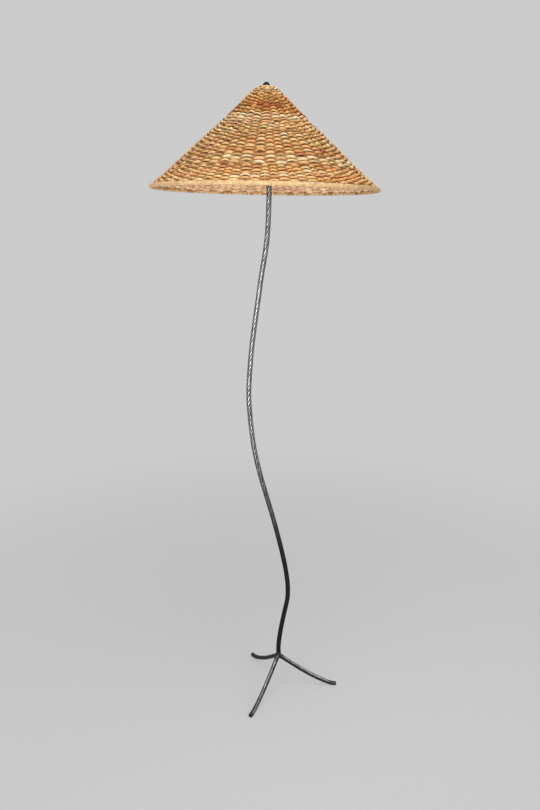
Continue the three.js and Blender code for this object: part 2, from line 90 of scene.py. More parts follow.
bpy.ops.mesh.primitive_circle_add(vertices=96, radius=4, fill_type="TRIFAN")
floor = bpy.context.object
floor.name = "studio_floor"
floor_paint, tree, shader = fresh_material("studio_floor", Base_Color=PALE, Roughness=0.9)
place = own_place(tree)
distance = node(tree, "VectorMath", {0: place}, operation="LENGTH").outputs["Value"]
fade = graded(tree, distance, 0, 1, 0.9, 2.4, interpolation_type="SMOOTHSTEP")
hidden = maths(tree, "MAXIMUM", fade, node(tree, "NewGeometry").outputs["Backfacing"])
clear = node(tree, "BsdfTransparent")
even = node(tree, "Emission", {"Color": PALE, "Strength": 1.0})
even_share = maths(tree, "MULTIPLY", node(tree, "LightPath").outputs["Is Camera Ray"], 0.6)
evened = node(tree, "MixShader", {0: even_share, 1: shader.outputs[0], 2: even.outputs[0]})
mixed = node(tree, "MixShader", {0: hidden, 1: evened.outputs[0], 2: clear.outputs[0]})
tree.links.new(mixed.outputs[0], tree.nodes["Material Output"].inputs["Surface"])
floor.data.materials.append(floor_paint)

bpy.context.scene.view_settings.view_transform = "Standard"
world = bpy.data.worlds.new("studio")
bpy.context.scene.world = world
world.use_nodes = True
sky = world.node_tree
sky.nodes.clear()
path = node(sky, "LightPath").outputs
through = maths(sky, "MAXIMUM", path["Is Glossy Ray"], path["Is Transmission Ray"])
seen = maths(sky, "MAXIMUM", path["Is Camera Ray"], through)
ambient = node(sky, "Background", {"Color": (0.42, 0.42, 0.424, 1), "Strength": 1.0})
backdrop = node(sky, "Background", {"Color": PALE, "Strength": 1.0})
sky_mix = node(sky, "MixShader", {0: seen, 1: ambient.outputs[0], 2: backdrop.outputs[0]})
sky_out = node(sky, "OutputWorld")
sky.links.new(sky_mix.outputs[0], sky_out.inputs["Surface"])

# Each softbox has its place, what it points at, its size, power and spread, and whether dull and shiny things show it.
# The first three only put gleams on the stem and legs. The last lights the inside of the shade from below.
for lamp_place, aim, size, power, spread, on_dull, on_shiny in (
    ((-0.45, -2.6, 0.72), (0, 0, 0.95), 0.9, 30, 179, False, True),
    ((-0.47, -0.78, 2.4), (0, -0.08, 0.05), 0.6, 2.4, 30, False, True),
    ((2.0, -0.3, 1.7), (0.12, 0, 0.05), 1.1, 6.0, 30, False, True),
    ((-1.3, -2.6, 2.9), (0, 0, 1.1), 1.1, 31, 180, True, True),
    ((1.6, -2.4, 2.2), (0, 0, 1.0), 1.2, 27, 180, True, True),
    ((0.2, -0.7, 4.0), (0, 0, 1.4), 1.6, 42, 180, True, True),
    ((-0.2, -1.2, 0.22), (0.05, 0.3, 1.6), 0.7, 5.2, 70, True, False),
):
    bpy.ops.object.light_add(type="AREA", location=lamp_place)
    softbox = bpy.context.object
    softbox.data.shape = "SQUARE"
    softbox.data.size = size
    softbox.data.energy = power
    softbox.data.spread = math.radians(spread)
    softbox.visible_diffuse = on_dull
    softbox.visible_glossy = on_shiny
    toward = Vector(aim) - Vector(lamp_place)
    softbox.rotation_euler = toward.to_track_quat("-Z", "Y").to_euler()

# Stem: one 14 mm steel tube, bent by hand over a former in one plane, scraped and waxed,
# so that it is bright on its crown and dark in its flaws, with painted shade that darkens it towards the floor.
# Its foot is welded to the legs.
HUB = Vector((0.0385, 0, 0.112))
HEAD_PLACE = Vector((0.009, 0.002, 1.570))
HEAD_TURN = Matrix.Rotation(math.radians(-3.4), 4, "X") @ Matrix.Rotation(math.radians(-1.6), 4, "Y")
HEAD = Matrix.Translation(HEAD_PLACE) @ HEAD_TURN
STEM_RADIUS = 0.007
STEM_WALL = 0.0016
STEM_SWAY = 0.070
STEM_BENDS = (
    (0.029, 0.027), (0.069, 0.152), (0.108, 0.321), (0.138, 0.451), (0.157, 0.476), (0.176, 0.467),
    (0.213, 0.376), (0.26, 0.194), (0.315, -0.06), (0.368, -0.338), (0.421, -0.615), (0.473, -0.827),
    (0.523, -0.937), (0.564, -0.991), (0.589, -0.999), (0.63, -0.942), (0.678, -0.836), (0.733, -0.667),
    (0.778, -0.511), (0.823, -0.36), (0.868, -0.184), (0.904, -0.083), (0.945, -0.029),
)


def noise(tree, vector, scale, detail, roughness=0.5, distortion=0.0):
    return node(tree, "TexNoise", {"Vector": vector, "Scale": scale, "Detail": detail, "Roughness": roughness,
                                   "Distortion": distortion}).outputs["Fac"]


def raised(tree, height, strength, distance, **under):
    return node(tree, "Bump", {"Height": height, "Strength": strength, "Distance": distance, **under}).outputs["Normal"]


def feed(tree, shader, **sockets):
    """Links node outputs to the shader's sockets, whose names are written as for fresh_material."""
    for name, output in sockets.items():
        tree.links.new(output, shader.inputs[name.replace("_", " ")])


def bent_line(corners, steps):
    """Even points along the smooth centripetal line through some corners."""
    p = np.array([tuple(c) for c in corners], float)
    p = np.vstack([2 * p[0] - p[1], p, 2 * p[-1] - p[-2]])
    knots = np.concatenate([[0], np.cumsum(np.linalg.norm(np.diff(p, axis=0), axis=1) ** 0.5)])
    fine = []
    for i in range(1, len(p) - 2):
        t = np.linspace(knots[i], knots[i + 1], 40, endpoint=False)[:, None]
        a = [((knots[j + 1] - t) * p[j] + (t - knots[j]) * p[j + 1]) / (knots[j + 1] - knots[j])
             for j in (i - 1, i, i + 1)]
        b = [((knots[j + 2] - t) * a[j - i + 1] + (t - knots[j]) * a[j - i + 2]) / (knots[j + 2] - knots[j])
             for j in (i - 1, i)]
        fine.append(((knots[i + 1] - t) * b[0] + (t - knots[i]) * b[1]) / (knots[i + 1] - knots[i]))
    fine = np.vstack(fine + [p[-2][None]])
    run = np.concatenate([[0], np.cumsum(np.linalg.norm(np.diff(fine, axis=0), axis=1))])
    even = np.linspace(0, run[-1], steps + 1)
    return np.column_stack([np.interp(even, run, fine[:, k]) for k in range(3)])


def make_active(piece):
    bpy.ops.object.select_all(action="DESELECT")
    piece.select_set(True)
    bpy.context.view_layer.objects.active = piece


def new_piece(name, data):
    """A new object that holds a mesh or curve, ready to work on."""
    piece = bpy.data.objects.new(name, data)
    bpy.context.scene.collection.objects.link(piece)
    make_active(piece)
    return piece


def all_over(tool, **settings):
    """Uses an edit-mode tool on the whole of the active piece."""
    bpy.ops.object.mode_set(mode="EDIT")
    bpy.ops.mesh.select_all(action="SELECT")
    tool(**settings)
    bpy.ops.object.mode_set(mode="OBJECT")


def close_up(merge_within):
    """Merges the active piece's doubled points and turns all its faces outwards."""
    all_over(bpy.ops.mesh.remove_doubles, threshold=merge_within)
    all_over(bpy.ops.mesh.normals_make_consistent, inside=False)


def round_bar(name, line, radius, detail=10, caps=True):
    """A round bar or wire that follows a line of points."""
    curve = bpy.data.curves.new(name, "CURVE")
    curve.dimensions = "3D"
    curve.bevel_depth = radius
    curve.bevel_resolution = detail
    curve.use_fill_caps = caps
    spline = curve.splines.new("POLY")
    spline.points.add(len(line) - 1)
    spline.points.foreach_set("co", np.column_stack([line, np.ones(len(line))]).ravel())
    new_piece(name, curve)
    bpy.ops.object.convert(target="MESH")
    close_up(1e-6)
    return bpy.context.object


def work(piece, kind, **settings):
    """Adds a modifier to a piece and applies it."""
    make_active(piece)
    modifier = piece.modifiers.new(kind.lower(), kind)
    for key, value in settings.items():
        setattr(modifier, key, value)
    bpy.ops.object.modifier_apply(modifier=modifier.name)


def settle(piece, name, body, slot, material, *stands_for):
    """Names a finished piece and ties it to its body, its finish and the nodes that it stands for."""
    make_active(piece)
    bpy.ops.object.transform_apply(location=True, rotation=True, scale=True)
    bpy.ops.object.shade_smooth_by_angle(angle=math.radians(35))
    piece.name = piece.data.name = name
    piece.data.materials.clear()
    piece.data.materials.append(material)
    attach(piece, body)
    if stands_for:
        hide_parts(*stands_for)


def dents(piece, grain, depth):
    """Shallow hammer and bending marks, pressed into the surface."""
    marks = bpy.data.textures.new("bending_marks", "CLOUDS")
    marks.noise_scale = grain
    work(piece, "DISPLACE", texture=marks, strength=depth, mid_level=0.5, texture_coords="LOCAL")


def cut(piece, cutter, operation="DIFFERENCE"):
    """Cuts one shape out of a piece, or keeps what they share, and throws the cutter away."""
    work(piece, "BOOLEAN", object=cutter, operation=operation, solver="EXACT")
    bpy.data.objects.remove(cutter)


def wrought_grain(piece, line, twist):
    """Gives each point of a bar its place on the straightened bar, turned as the hammer marks wind round it."""
    points = np.array([tuple(v.co) for v in piece.data.vertices])
    line = np.array([tuple(p) for p in line])
    way = np.gradient(line, axis=0)
    way /= np.linalg.norm(way, axis=1)[:, None]
    run = np.concatenate([[0], np.cumsum(np.linalg.norm(np.diff(line, axis=0), axis=1))])
    nearest = np.argmin(((points[:, None] - line[None]) ** 2).sum(-1), axis=1)
    off = points - line[nearest]
    level = np.cross(way, [0.0, 0.0, 1.0]) if abs(way[0, 2]) < 0.9 else np.cross(way, [1.0, 0.0, 0.0])
    level /= np.linalg.norm(level, axis=1)[:, None]
    upright = np.cross(level, way)
    along = run[nearest] + (off * way[nearest]).sum(-1)
    across, up = (off * level[nearest]).sum(-1), (off * upright[nearest]).sum(-1)
    angle = np.arctan2(up, across) + twist * along
    size = np.hypot(across, up)
    straight = np.column_stack([size * np.cos(angle), size * np.sin(angle), along])
    grain = piece.data.attributes.new("wrought", "FLOAT_VECTOR", "POINT")
    grain.data.foreach_set("vector", straight.astype(np.float32).ravel())


stem_axis = (HEAD_TURN @ Vector((0, 0, 1))).normalized()
stem_corners = [HUB]
for rise, sway in STEM_BENDS:
    corner = HUB.lerp(HEAD_PLACE, rise) + Vector((STEM_SWAY * sway, 0, 0))
    corner.y = 0
    stem_corners.append(corner)
stem_corners += [HEAD_PLACE - 0.030 * stem_axis, HEAD_PLACE]
stem_line = bent_line(stem_corners, 260)
stem = round_bar("stem", stem_line[1:], STEM_RADIUS, caps=False)
dents(stem, 0.03, 0.0005)
work(stem, "SOLIDIFY", thickness=STEM_WALL, offset=-1, use_rim=True)

OUTLET = Vector((0.03897, 0, 0.14447))
bpy.ops.mesh.primitive_cylinder_add(vertices=32, radius=0.0044, depth=0.02, location=OUTLET + Vector((0, 0.0104, 0)),
                                    rotation=(math.radians(90), 0, 0))
cut(stem, bpy.context.object)
wrought_grain(stem, stem_line, twist=60)

scraped_steel, tree, shader = fresh_material("scraped_steel", Metallic=1.0, Specular_Tint=(0, 0, 0, 1))
place = own_place(tree)
height = node(tree, "SeparateXYZ", {0: place}).outputs["Z"]
# Painted shade: the steel's colour goes dark towards the floor and is bright only high up.
painted_light_by_height = graded(tree, height, 0.02, 1.0, 0.46, 0.86, interpolation_type="SMOOTHSTEP")
wrought = node(tree, "Attribute", attribute_name="wrought").outputs["Vector"]
bar_place = node(tree, "SeparateXYZ", {0: wrought}).outputs
bar_angle = maths(tree, "ARCTAN2", bar_place["Y"], bar_place["X"])
stretched = node(tree, "Mapping", {"Vector": wrought, "Scale": (330, 330, 45)}).outputs[0]
streaks = noise(tree, stretched, 1.0, 5, 0.65)
marks_turn = maths(tree, "MULTIPLY_ADD", bar_angle, 7, graded(tree, streaks, -2.6, 2.6))
marks = node(tree, "Math", {0: marks_turn}, operation="SINE").outputs[0]
marked = maths(tree, "MULTIPLY_ADD", marks, 0.24, streaks)
worn = maths(tree, "MULTIPLY", graded(tree, marked, 0, 1, 0.36, 0.74), painted_light_by_height)
steel_colour = node(tree, "Mix", {0: worn, 6: (0.022, 0.022, 0.023, 1), 7: (0.54, 0.54, 0.535, 1)}, data_type="RGBA")
hammered = raised(tree, marked, 0.5, 0.0012)
pitted = raised(tree, noise(tree, place, 700, 3), 0.2, 0.0006, Normal=hammered)
feed(tree, shader, Base_Color=steel_colour.outputs[2], Roughness=graded(tree, worn, 0.40, 0.24), Normal=pitted)
settle(stem, "stem", "stand", "forged_steel", scraped_steel, "stem_tube")

# Legs: three 12.7 mm round bars, bent cold, cut square at the tip and lying flat on the floor.
# They were heated black and waxed, so only their crowns shine.
LEG_TURNS = (0, -118.8, 118.8)
LEG_BENDS = ((0, 0), (0.25, 0.32), (0.52, 0.64), (0.78, 0.885), (0.9, 0.972), (0.95, 0.996), (1, 1))
LEG_RADIUS = 0.00635
LEG_FLAT = 0.0008
LEG_DROP = HUB.z - (LEG_RADIUS - LEG_FLAT)


def two_tones(tree, value, low, low_at, high, high_at):
    """Two colours that run into each other between two values."""
    ramp = node(tree, "ValToRGB", {"Fac": value})
    for element, tone, position in zip(ramp.color_ramp.elements, (low, high), (low_at, high_at)):
        element.color = (*tone, 1)
        element.position = position
    return ramp.outputs["Color"]


black_steel, tree, shader = fresh_material("black_steel", Metallic=0.9, Specular_Tint=(0.3, 0.3, 0.3, 1),
                                           Coat_Weight=0.4, Coat_Roughness=0.13)
place = own_place(tree)
mottle = noise(tree, place, 85, 5, 0.6)
scale_colour = two_tones(tree, mottle, (0.012, 0.012, 0.0125), 0.38, (0.035, 0.0345, 0.033), 0.72)
pitted = raised(tree, noise(tree, place, 600, 3), 0.25, 0.0006)
feed(tree, shader, Base_Color=scale_colour, Roughness=graded(tree, mottle, 0.5, 0.33, 0.3, 0.7), Normal=pitted)


def facing(turn):
    """The level direction that lies so many degrees round from the right, to the left as seen from above."""
    return Vector((math.cos(math.radians(turn)), math.sin(math.radians(turn)), 0))


for turn, leg_name, reach in zip(LEG_TURNS, ("leg_right", "leg_front_left", "leg_back_left"), (0.1855, 0.1787, 0.1787)):
    outward = facing(turn)
    corners = [HUB + outward * reach * out - Vector((0, 0, LEG_DROP * drop)) for out, drop in LEG_BENDS]
    leg = round_bar(leg_name, bent_line(corners, 90)[2:], LEG_RADIUS)
    work(leg, "BEVEL", width=0.0006, segments=2, limit_method="ANGLE", angle_limit=math.radians(50))
    dents(leg, 0.02, 0.0005)
    all_over(bpy.ops.mesh.bisect, plane_co=(0, 0, 0), plane_no=(0, 0, 1), use_fill=True, clear_inner=True)
    settle(leg, leg_name + "_bar", "stand", "forged_steel", black_steel, leg_name)

# Weld: legs and stem run together in one hand-dressed weld, hardly thicker than the bars.
# Its beads are ground smooth, and it is blackened and waxed with the legs.
LEG_START_OUT = 0.0464
LEG_START_DOWN = 0.034
WELD_REACH = 0.024
weld_ways = [Vector(tuple(stem_line[12] - stem_line[0])).normalized()]
for turn in LEG_TURNS:
    weld_ways.append((LEG_START_OUT * facing(turn) - Vector((0, 0, LEG_START_DOWN))).normalized())


def joined(*parts):
    """Several loose parts as one piece."""
    bpy.ops.object.select_all(action="DESELECT")
    for part in parts:
        part.select_set(True)
    bpy.context.view_layer.objects.active = parts[0]
    bpy.ops.object.join()
    return bpy.context.object


bpy.ops.mesh.primitive_ico_sphere_add(subdivisions=3, radius=0.0088, location=HUB)
weld_parts = [bpy.context.object]
for way in weld_ways:
    bpy.ops.mesh.primitive_cone_add(vertices=24, radius1=0.0082, radius2=0.0060, depth=WELD_REACH,
                                    location=HUB + way * (WELD_REACH / 2),
                                    rotation=way.to_track_quat("Z", "Y").to_euler())
    weld_parts.append(bpy.context.object)
weld = joined(*weld_parts)
bpy.ops.object.transform_apply(location=True, rotation=True, scale=True)
work(weld, "REMESH", mode="VOXEL", voxel_size=0.0009)
work(weld, "SMOOTH", factor=0.5, iterations=10)
dents(weld, 0.006, 0.0014)
settle(weld, "weld", "stand", "forged_steel", black_steel, "base_hub")

# Neck: a hollow threaded pipe stands in the stem's end. A pressed washer, the harp's saddle
# and a hexagonal lock nut sit on it, all of zinc-plated steel, drawn down tight by the nut.
HEAD_MM = HEAD @ Matrix.Scale(0.001, 4)
HARP_FOOT = 30.0
PIPE_BORE = 3.5
PIPE_HOLE = 5.3
NUT_ACROSS_FLATS = 28


def turned(name, section, place, steps=48, ease=0.3):
    """A lathe-turned part: radius and height points, in millimetres, spun about the place's own axis."""
    mesh = bpy.data.meshes.new(name)
    mesh.from_pydata([(r, 0, z) for r, z in section], [(i, i + 1) for i in range(len(section) - 1)], [])
    piece = new_piece(name, mesh)
    all_over(bpy.ops.mesh.spin, steps=steps, angle=math.tau, center=(0, 0, 0), axis=(0, 0, 1))
    close_up(1e-4)
    if ease:
        work(piece, "BEVEL", width=ease, segments=2, limit_method="ANGLE", angle_limit=math.radians(40))
    piece.data.transform(place)
    return piece


def thread(radius, depth, bottom, top, pitch):
    """Section points of a rolled thread, from its bottom to its top."""
    turns = int((top - bottom) / pitch)
    points = []
    for i in range(turns):
        points += [(radius - depth, bottom + pitch * i), (radius, bottom + pitch * (i + 0.5))]
    return points + [(radius - depth, bottom + pitch * turns)]


def metal(name, base, dull, rough, grain):
    """A plated or rolled metal: its colour goes duller in patches, and fine scratches break its shine."""
    material, tree, shader = fresh_material(name, Metallic=1.0)
    place = own_place(tree)
    worn = graded(tree, noise(tree, place, grain, 5, 0.6), 0, 1, 0.36, 0.66)
    colour = node(tree, "Mix", {0: worn, 6: (*dull, 1), 7: (*base, 1)}, data_type="RGBA").outputs[2]
    scratched = raised(tree, noise(tree, place, 1400, 2), 0.12, 0.0003)
    feed(tree, shader, Base_Color=colour, Roughness=graded(tree, worn, rough + 0.16, rough), Normal=scratched)
    return material


zinc = metal("zinc_plate", (0.56, 0.55, 0.52), (0.36, 0.355, 0.34), 0.26, 180)
pipe = turned("pipe", [(PIPE_BORE, -14), *thread(5.0, 0.5, -13.6, 14.8, 0.94), (PIPE_BORE, 15),
                       (PIPE_BORE, -14)], HEAD_MM, ease=0)
settle(pipe, "threaded_pipe", "stand", "zinc_fixings", zinc, "threaded_nipple")

washer = turned("washer", [(PIPE_HOLE, 0.3), (9, 0.3), (9, 1.8), (PIPE_HOLE, 1.8), (PIPE_HOLE, 0.3)],
                HEAD_MM, ease=0.4)
settle(washer, "pressed_washer", "stand", "zinc_fixings", zinc, "neck_washer")

bpy.ops.mesh.primitive_cylinder_add(vertices=6, radius=NUT_ACROSS_FLATS / 2 / math.sqrt(3), depth=3,
                                    location=(0, 0, 5.4))
nut = bpy.context.object
bpy.ops.object.transform_apply(location=True)
loose = Matrix.Identity(4)
chamfer = turned("chamfer", [(0, 3.6), (6.9, 3.6), (8.4, 4.5), (8.4, 6.3), (6.9, 7.2), (0, 7.2)], loose, ease=0)
cut(nut, chamfer, "INTERSECT")
cut(nut, turned("tapped_hole", [(0, 3), (PIPE_HOLE, 3), (PIPE_HOLE, 8), (0, 8)], loose, ease=0))
nut.data.transform(HEAD_MM)
settle(nut, "hex_nut", "stand", "zinc_fixings", zinc, "lock_nut")

# Harp saddle: a steel strap under the lock nut, bent up at both ends. Each end carries a round post,
# on which a foot of the harp stands.
strap_bend = [(-HARP_FOOT, 11.1), (-HARP_FOOT, 5.2), (-29.6, 3.9), (-28.4, 3.0), (-27, 2.85)]
strap_bend += [(-x, z) for x, z in reversed(strap_bend)]
strap_mesh = bpy.data.meshes.new("strap")
strap_mesh.from_pydata([(x, -6, z) for x, z in strap_bend], [(i, i + 1) for i in range(len(strap_bend) - 1)], [])
strap = new_piece("strap", strap_mesh)
all_over(bpy.ops.mesh.extrude_region_move, TRANSFORM_OT_translate={"value": (0, 12, 0)})
all_over(bpy.ops.mesh.normals_make_consistent, inside=False)
work(strap, "SOLIDIFY", thickness=1.5, offset=0)
cut(strap, turned("pipe_hole", [(0, 0), (PIPE_HOLE, 0), (PIPE_HOLE, 6), (0, 6)], loose, ease=0))
work(strap, "BEVEL", width=0.35, segments=2, limit_method="ANGLE", angle_limit=math.radians(60))
posts = [turned("post", [(0, 3.4), (2.2, 3.4), (2.2, 16.4), (1.6, 17.1), (0, 17.1)],
                Matrix.Translation((side * HARP_FOOT, 0, 0)), 24) for side in (-1, 1)]
saddle = joined(strap, *posts)
saddle.data.transform(HEAD_MM)
settle(saddle, "saddle_strap", "stand", "zinc_fixings", zinc, "harp_saddle")

# Harp: one zinc-plated wire, bent to a bow that clears the bulb. Two brass ferrules slide down its legs
# and lock its feet on the saddle's posts.
HARP_SHOULDER = 217.1
harp_right = [(HARP_FOOT, 17.4), (HARP_FOOT, 28.35), (HARP_FOOT, 39.6), (31.56, 61.0), (45.08, 90.5), (56, 124.2),
              (52.1, 153.7), (37.0, 183.1), (16.8, 203.1)]
harp_bends = harp_right + [(0, 212.6)] + [(-x, z) for x, z in reversed(harp_right)]
harp_line = bent_line([HEAD_MM @ Vector((x, 0, z)) for x, z in harp_bends], 180)
harp = round_bar("harp", harp_line, 0.0022, detail=5)
settle(harp, "harp_bow", "stand", "zinc_fixings", zinc, "harp_wire")

brass = metal("aged_brass", (0.62, 0.48, 0.24), (0.36, 0.26, 0.12), 0.28, 150)
for side, ferrule_body in ((-1, "ferrule_left"), (1, "ferrule_right")):
    ferrule = turned("ferrule", [(2.5, 11.4), (4.2, 11.4), (4.2, 12.5), (3.8, 13.1), (3.8, 23.8), (4.2, 24.4),
                                 (4.2, 25.4), (2.5, 25.4), (2.5, 11.4)],
                     HEAD_MM @ Matrix.Translation((side * HARP_FOOT, 0, 0)), 32, 0.2)
    settle(ferrule, ferrule_body + "_sleeve", ferrule_body, "aged_brass", brass, "harp_" + ferrule_body)

# Stud: a zinc-plated steel pin that is drilled for the harp's wire and sits on the top of the bow.
# Its threaded end passes through the shade's washer into the finial.
stud = turned("stud", [(0, 208.1), (5.5, 208.1), (5.5, 209.4), (5.1, 209.9), (5.1, 215.3), (5.5, 215.8),
                       (5.5, HARP_SHOULDER), *thread(3.2, 0.4, 217.4, 228.8, 0.94), (0, 229.1)], HEAD_MM, 32, 0)
cut(stud, round_bar("wire_way", harp_line[82:99], 0.0025, detail=4))
settle(stud, "swivel_stud", "stand", "zinc_fixings", zinc, "harp_stud")

# Lamp holder: a spun brass cap and a drawn brass shell with rolled rings and a rolled lip,
# lined with fibre tube. The shell has a hole for the switch's shaft.
SWITCH_MM = HEAD_MM @ Matrix.Translation((0, 0, 29)) @ Matrix.Rotation(math.radians(90), 4, "X")


def bored_for_switch(piece):
    """Drills the round hole for the switch's shaft through a piece's front."""
    cut(piece, turned("drill", [(0, 7.7), (2.1, 7.7), (2.1, 30), (0, 30)], SWITCH_MM, 24, 0))


cap = turned("cap", [(PIPE_HOLE, 7.2), (7.6, 7.2), (7.6, 11.2), (8.7, 11.9), (11.4, 12.9), (13.9, 14.4),
                     (15.8, 16.2), (16.8, 17.9), (17.1, 19.6), (17.1, 24.2), (16.8, 25.2), (16.3, 25.2), (16.3, 19.4),
                     (13.3, 15.6), (8.2, 12.3), (PIPE_HOLE, 11.2), (PIPE_HOLE, 7.2)], HEAD_MM, 64, 0.25)
settle(cap, "holder_cap", "stand", "aged_brass", brass, "socket_cap")

shell = turned("shell", [(16, 18.7), (16, 34.5), (15.75, 35.1), (15.75, 35.7), (16, 36.3), (16, 57.2), (15.75, 57.8),
                         (15.75, 58.4), (16, 59.0), (16, 61.2), (16.5, 61.6), (16.7, 62.2), (16.5, 62.8), (16, 63.2),
                         (15.3, 63.2), (15.3, 18.7), (16, 18.7)], HEAD_MM, 64, 0)
bored_for_switch(shell)
settle(shell, "holder_shell", "stand", "aged_brass", brass, "socket_shell")

fibre, tree, shader = fresh_material("pressed_fibre", Roughness=0.9)
pulp = noise(tree, own_place(tree), 520, 6, 0.7)
pulp_colour = two_tones(tree, pulp, (0.26, 0.20, 0.13), 0.3, (0.42, 0.34, 0.24), 0.7)
feed(tree, shader, Base_Color=pulp_colour, Normal=raised(tree, pulp, 0.3, 0.0004))
liner = turned("liner", [(14.4, 20.2), (15.0, 20.2), (15.0, 61.7), (14.4, 61.7), (14.4, 20.2)], HEAD_MM, 64, 0)
bored_for_switch(liner)
settle(liner, "fibre_tube", "stand", "fibre_liner", fibre, "insulating_liner")

# Inside the holder: a moulded phenolic body with two brass terminal screws in its sides, the screw shell
# rolled from brass strip, and the sprung contact under the bulb's tip.
phenolic, tree, shader = fresh_material("phenolic_moulding")
flow = noise(tree, own_place(tree), 240, 5, 0.6, 1.2)
flow_colour = two_tones(tree, flow, (0.035, 0.026, 0.020), 0.35, (0.085, 0.066, 0.052), 0.7)
feed(tree, shader, Base_Color=flow_colour, Roughness=graded(tree, flow, 0.28, 0.5),
     Normal=raised(tree, flow, 0.15, 0.0004))


def screw_place(side):
    """The place of a terminal screw: its axis points out of the holder's left or right side."""
    return HEAD_MM @ Matrix.Translation((0, 0, 21.6)) @ Matrix.Rotation(math.radians(90 * side), 4, "Y")


moulding = turned("moulding", [(0, 18), (13.4, 18), (14.1, 18.7), (14.1, 35.3), (13.4, 36), (0, 36)], HEAD_MM, 64, 0)
bored_for_switch(moulding)
for side in (-1, 1):
    cut(moulding, turned("pocket", [(0, 6.9), (2.0, 6.9), (2.0, 11.9), (3.3, 11.9), (3.3, 16), (0, 16)],
                         screw_place(side), 24, 0))
settle(moulding, "holder_moulding", "stand", "phenolic", phenolic, "socket_body")

for side, side_name in ((-1, "left"), (1, "right")):
    screw = turned("screw", [(0, 7.2), *thread(1.7, 0.25, 7.3, 12.2, 0.6), (3.0, 12.2), (3.0, 13.3), (2.5, 13.8),
                             (0, 13.8)], loose, 32, 0)
    bpy.ops.mesh.primitive_cube_add(size=1, location=(0, 0, 13.8), scale=(7, 0.7, 1.2))
    cut(screw, bpy.context.object)
    screw.data.transform(screw_place(side))
    screw_name = "terminal_screw_" + side_name
    settle(screw, screw_name + "_slotted", "stand", "aged_brass", brass, screw_name)

LAMP_PITCH = 3.6
rolled = [(0.2 * math.sin(math.tau * i / 8), 38.4 + LAMP_PITCH * i / 8) for i in range(41)]
rolled_shell = turned("rolled_shell", [(5.1, 36.3), (13.9, 36.3), *((13.9 + wave, z) for wave, z in rolled),
                                       (13.9, 58.3), (13.4, 58.3), *((13.4 + wave, z) for wave, z in reversed(rolled)),
                                       (13.4, 36.9), (5.1, 36.9), (5.1, 36.3)], HEAD_MM, 64, 0)
settle(rolled_shell, "rolled_screw_shell", "stand", "aged_brass", brass, "screw_shell")

contact = turned("contact", [(0, 36.3), (4.5, 36.3), (4.5, 36.9), (3.4, 37.6), (2.6, 38.6), (1.5, 39.2), (0, 39.3)],
                 HEAD_MM, 32, 0.2)
settle(contact, "sprung_contact", "stand", "aged_brass", brass, "centre_contact")

# Turn switch: a zinc-plated shaft comes out through the hole in the holder's front.
# A key moulded from phenolic is pressed on its end, with ridges for the fingers.
shaft = turned("shaft", [(0, 8), (1.6, 8), (1.6, 31.5), (1.1, 32), (0, 32)], SWITCH_MM, 24, 0)
settle(shaft, "switch_spindle", "switch_key", "zinc_fixings", zinc, "switch_shaft")

boss = turned("boss", [(1.9, 26.5), (3.0, 26.5), (3.0, 31.4), (3.0, 33.5), (0, 33.5), (0, 32.3), (1.9, 32.3),
                       (1.9, 26.5)], loose, 32, 0.3)
bpy.ops.mesh.primitive_cube_add(size=1, location=(0, 0, 34.75), scale=(9, 3.2, 5.5))
grip = bpy.context.object
bpy.ops.object.transform_apply(location=True, rotation=True, scale=True)
work(grip, "BEVEL", width=1.1, segments=4)
for ridge in range(-3, 4):
    for face in (-1, 1):
        bpy.ops.mesh.primitive_cylinder_add(vertices=12, radius=0.32, depth=7,
                                            location=(ridge * 1.15, face * 1.75, 36.5))
        cut(grip, bpy.context.object)
key = joined(grip, boss)
key.data.transform(SWITCH_MM)
settle(key, "switch_key_grip", "switch_key", "phenolic", phenolic, "switch_knob")

# Bulb: a blown, inside-frosted glass envelope cemented in a plated screw base, with a black glass insulator
# and a soldered tip under it.
base_thread = [(12.6 + 0.3 * math.cos(math.tau * i / 8), 46.2 + LAMP_PITCH * i / 8) for i in range(33)]
base = turned("base", [(12.0, 44.8), (12.7, 45.0), *base_thread, (12.9, 61.4), (12.9, 65.1), (12.6, 65.6),
                       (12.0, 65.6), (12.0, 44.8)], HEAD_MM, 64, 0)
settle(base, "bulb_screw_base", "bulb", "zinc_fixings", zinc, "bulb_base")

insulator = turned("insulator", [(0, 40.7), (4.6, 40.7), (5.6, 40.9), (11.6, 43.9), (12.3, 44.7), (11.9, 45.6),
                                 (0, 45.6)], HEAD_MM, 64, 0.2)
settle(insulator, "bulb_insulator", "bulb", "phenolic", phenolic)
solder = turned("solder", [(0, 39.6), (2.6, 39.65), (3.9, 40.0), (4.5, 40.7), (4.5, 41.2), (0, 41.2)],
                HEAD_MM, 32, 0)
settle(solder, "bulb_tip_solder", "bulb", "zinc_fixings", zinc)

frosted, tree, shader = fresh_material("frosted_bulb_glass", Transmission_Weight=0.45, IOR=1.45,
                                       Subsurface_Weight=0.3, Subsurface_Scale=0.004)
frost = noise(tree, own_place(tree), 900, 3)
frost_colour = two_tones(tree, frost, (0.88, 0.87, 0.83), 0, (0.96, 0.955, 0.93), 1)
feed(tree, shader, Base_Color=frost_colour, Roughness=graded(tree, frost, 0.38, 0.6))
blown = bent_line([(r, 0, z) for r, z in ((11.6, 65.6), (12.6, 73.2), (18.6, 85.8), (25.8, 100.9), (29.4, 112.6),
                                          (30, 121.0), (28.5, 131.1), (23.4, 141.2), (12.6, 147.9), (0, 149.6))], 36)
outside = [(11.6, 56.6), *((max(p[0], 0), p[2]) for p in blown)]
GLASS = 1.0
inside = [(max(r - GLASS, 0), z - GLASS * (z > 131) - 0.3 * (z > 110)) for r, z in outside]
envelope = turned("envelope", [*reversed(inside), *outside], HEAD_MM, 64, 0)
settle(envelope, "bulb_envelope", "bulb", "frosted_glass", frosted, "bulb_glass")

